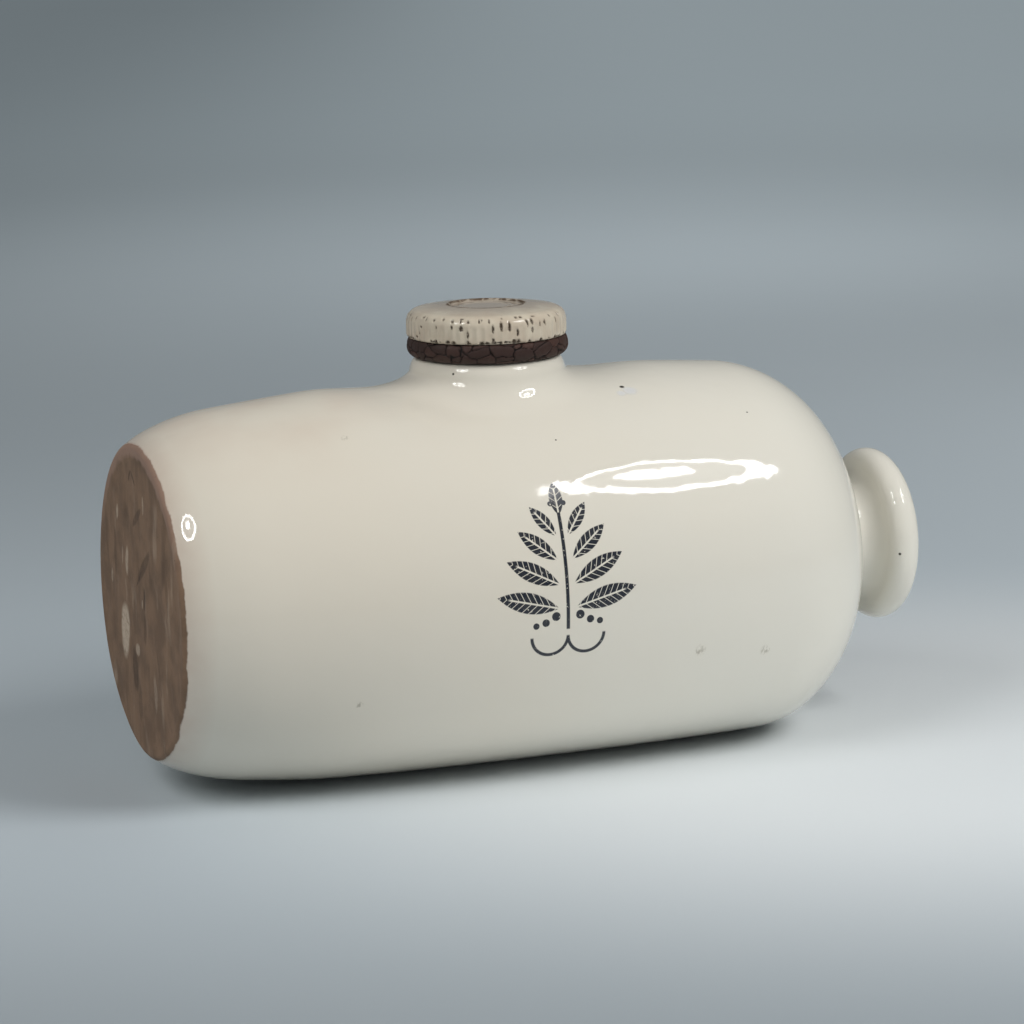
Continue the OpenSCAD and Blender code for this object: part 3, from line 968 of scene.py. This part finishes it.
def makeCamera():
    a = math.radians(view["azimuth"])
    e = math.radians(view["elevation"])
    r = math.radians(view["roll"])
    back = Vector((-math.sin(a) * math.cos(e), -math.cos(a) * math.cos(e), math.sin(e)))
    level = Vector((math.cos(a), -math.sin(a), 0))
    upright = back.cross(level)
    right = math.cos(r) * level + math.sin(r) * upright
    up = math.cos(r) * upright - math.sin(r) * level
    perPixel = view["distance"] / view["lensPixels"]
    sideways = (view["aimPixel"][0] - view["frame"] / 2) * perPixel
    upwards = (view["frame"] / 2 - view["aimPixel"][1]) * perPixel
    place = Vector(view["aim"]) - sideways * right - upwards * up + view["distance"] * back
    data = bpy.data.cameras.new("photoCamera")
    data.sensor_width = view["sensor"]
    data.lens = view["lensPixels"] / view["frame"] * view["sensor"]
    data.clip_start = 0.05
    data.clip_end = 60
    camera = bpy.data.objects.new("photoCamera", data)
    turn = Matrix((right, up, back)).transposed().to_4x4()
    camera.matrix_world = Matrix.Translation(place * mm) @ turn
    bpy.context.scene.collection.objects.link(camera)
    bpy.context.scene.camera = camera


# the floor's colours hold a painted pool of light round the bottle and painted shade towards the viewer
floor = {
    "paintedLightPool": paint(225, 231, 235), "near": paint(193, 204, 212), "far": paint(215, 230, 239),
    "poolAt": (135, -45, 0), "poolFrom": 80, "poolTo": 300, "farFrom": 500, "farTo": 3000,
    "shade": paint(60, 66, 72), "frontFrom": 60, "frontTo": 340, "frontShade": 0.49,
    "radius": 14000, "drop": 0.2, "rough": 0.6, "roughSpread": 0.1,
}


def makeFloor():
    material, place = startMaterial("paleFloor")
    x, y, z = place.axes()
    # painted light: the floor is painted paler in a pool round the bottle
    distance = place.gap(floor["poolAt"])
    colour = distance.step(floor["poolFrom"], floor["poolTo"]).mix(floor["paintedLightPool"], floor["near"])
    colour = distance.step(floor["farFrom"], floor["farTo"]).mix(colour, floor["far"])
    # painted shade: the floor is painted darker towards the viewer, where the light thins out
    turn = math.radians(view["azimuth"])
    front = (x * -math.sin(turn) - y * math.cos(turn)).step(floor["frontFrom"], floor["frontTo"])
    colour = (front * floor["frontShade"]).mix(colour, floor["shade"])
    roughness = floor["rough"] + floor["roughSpread"] * place.noise(60, 2)
    endMaterial(place, colour, roughness, place.noise(5, 2), 0.05, 0.2)
    bm = bmesh.new()
    bmesh.ops.create_circle(bm, cap_ends=True, radius=floor["radius"] * mm, segments=96)
    bmesh.ops.translate(bm, vec=(0, 0, -floor["drop"] * mm), verts=bm.verts)
    mesh = bpy.data.meshes.new("paleFloor")
    bm.to_mesh(mesh)
    bm.free()
    mesh.materials.append(material)
    plane = bpy.data.objects.new("paleFloor", mesh)
    bpy.context.scene.collection.objects.link(plane)


# the lamps light the surfaces, and the bright dishes only shine in the glaze
lamps = {
    "rightLamp": {"turn": 38, "height": 40, "distance": 850, "width": 420, "power": 4.2},
    "leftLamp": {"turn": -66, "height": 42, "distance": 1300, "width": 800, "power": 5.8},
    "frontFill": {"turn": -15, "height": 32, "distance": 1500, "width": 900, "power": 0.4},
}
dishes = {
    "rightDish": {"turn": 42.6, "height": 48, "distance": 1200},
    "leftDish": {"turn": -64, "height": 44, "distance": 1300},
}
dish = {
    "colour": (1, 0.985, 0.96), "radius": 174, "rimFrom": 138, "rimRise": 14, "heart": 54, "heartRise": 44,
    "dim": 0.06, "strength": 22,
}
# light thrown up by the pale floor, in front of the barrel and under the knob
bounces = {
    "barrelBounce": {"place": (110, -80, 3), "size": (360, 46), "power": 0.012},
    "knobBounce": {"place": (190, -110, 3), "size": (130, 130), "power": 0.022},
}
# lamps over the floor behind, as their place to the right, back and up in the view
backdrop = {
    "sideBackdrop": {"place": (400, 560, 900), "size": (300, 300), "power": 0.2},
    "nearBackdrop": {"place": (180, 1350, 1500), "size": (400, 400), "power": 0.85},
    "farBackdrop": {"place": (2250, 5300, 1200), "size": (5000, 7000), "power": 20},
}
backdropSpread = 60
sky = {"colour": (0.9, 0.94, 0.94, 1), "strength": 0.225}


def lampAt(turn, height, distance):
    turn = math.radians(turn)
    height = math.radians(height)
    away = Vector((math.sin(turn) * math.cos(height), -math.cos(turn) * math.cos(height), math.sin(height)))
    return Vector((0, 0, axisZ)) + away * distance, away


def makeLamp(name, shape, place, turn, size, power):
    data = bpy.data.lights.new(name, "AREA")
    data.shape = shape
    data.size = size[0] * mm
    data.size_y = size[1] * mm
    data.energy = power
    data.color = dish["colour"]
    light = bpy.data.objects.new(name, data)
    light.location = Vector(place) * mm
    light.rotation_mode = "QUATERNION"
    light.rotation_quaternion = turn
    light.visible_glossy = False
    light.visible_camera = False
    bpy.context.scene.collection.objects.link(light)
    return data


def makeShine(name, place, away):
    material, spot = startMaterial(name)
    rise = (Vector((0, 0, 1)) - away * away.z).normalized()
    rim = spot.gap(place + rise * dish["rimRise"]).step(dish["rimFrom"] - 4, dish["rimFrom"] + 4)
    heart = spot.gap(place + rise * dish["heartRise"]).step(dish["heart"] + 4, dish["heart"] - 4)
    glow = rim.most(heart).mix((dish["dim"], dish["dim"], dish["dim"], 1), (1, 1, 1, 1))
    surface = {"Base Color": (0, 0, 0, 1), "Emission Color": glow, "Emission Strength": dish["strength"]}
    shader = spot.node("ShaderNodeBsdfPrincipled", {}, surface)
    spot.node("ShaderNodeOutputMaterial", {}, {"Surface": shader})
    bm = bmesh.new()
    bmesh.ops.create_circle(bm, cap_ends=True, radius=dish["radius"], segments=64)
    turn = away.to_track_quat("Z", "Y").to_matrix().to_4x4()
    bmesh.ops.transform(bm, matrix=Matrix.Scale(mm, 4) @ Matrix.Translation(place) @ turn, verts=bm.verts)
    mesh = bpy.data.meshes.new(name)
    bm.to_mesh(mesh)
    bm.free()
    mesh.materials.append(material)
    disc = bpy.data.objects.new(name, mesh)
    bpy.context.scene.collection.objects.link(disc)
    disc.visible_camera = False
    disc.visible_diffuse = False
    disc.visible_shadow = False
    disc.visible_transmission = False


def makeLight():
    for name, lamp in lamps.items():
        place, away = lampAt(lamp["turn"], lamp["height"], lamp["distance"])
        turn = (-away).to_track_quat("-Z", "Y")
        makeLamp(name, "DISK", place, turn, (lamp["width"], lamp["width"]), lamp["power"])
    for name, spot in dishes.items():
        place, away = lampAt(spot["turn"], spot["height"], spot["distance"])
        makeShine(name, place, away)
    upwards = Matrix.Rotation(math.pi, 3, "X").to_quaternion()
    for name, lamp in bounces.items():
        makeLamp(name, "RECTANGLE", lamp["place"], upwards, lamp["size"], lamp["power"])
    squared = Matrix.Rotation(-math.radians(view["azimuth"]), 3, "Z")
    for name, lamp in backdrop.items():
        place = squared @ Vector(lamp["place"])
        data = makeLamp(name, "RECTANGLE", place, squared.to_quaternion(), lamp["size"], lamp["power"])
        data.spread = math.radians(backdropSpread)
    world = bpy.data.worlds.new("softSky")
    world.use_nodes = True
    background = world.node_tree.nodes["Background"]
    background.inputs["Color"].default_value = sky["colour"]
    background.inputs["Strength"].default_value = sky["strength"]
    bpy.context.scene.world = world


makeCamera()
makeFloor()
makeLight()
bpy.context.scene.view_settings.view_transform = "Standard"
print("stage, camera and light made")
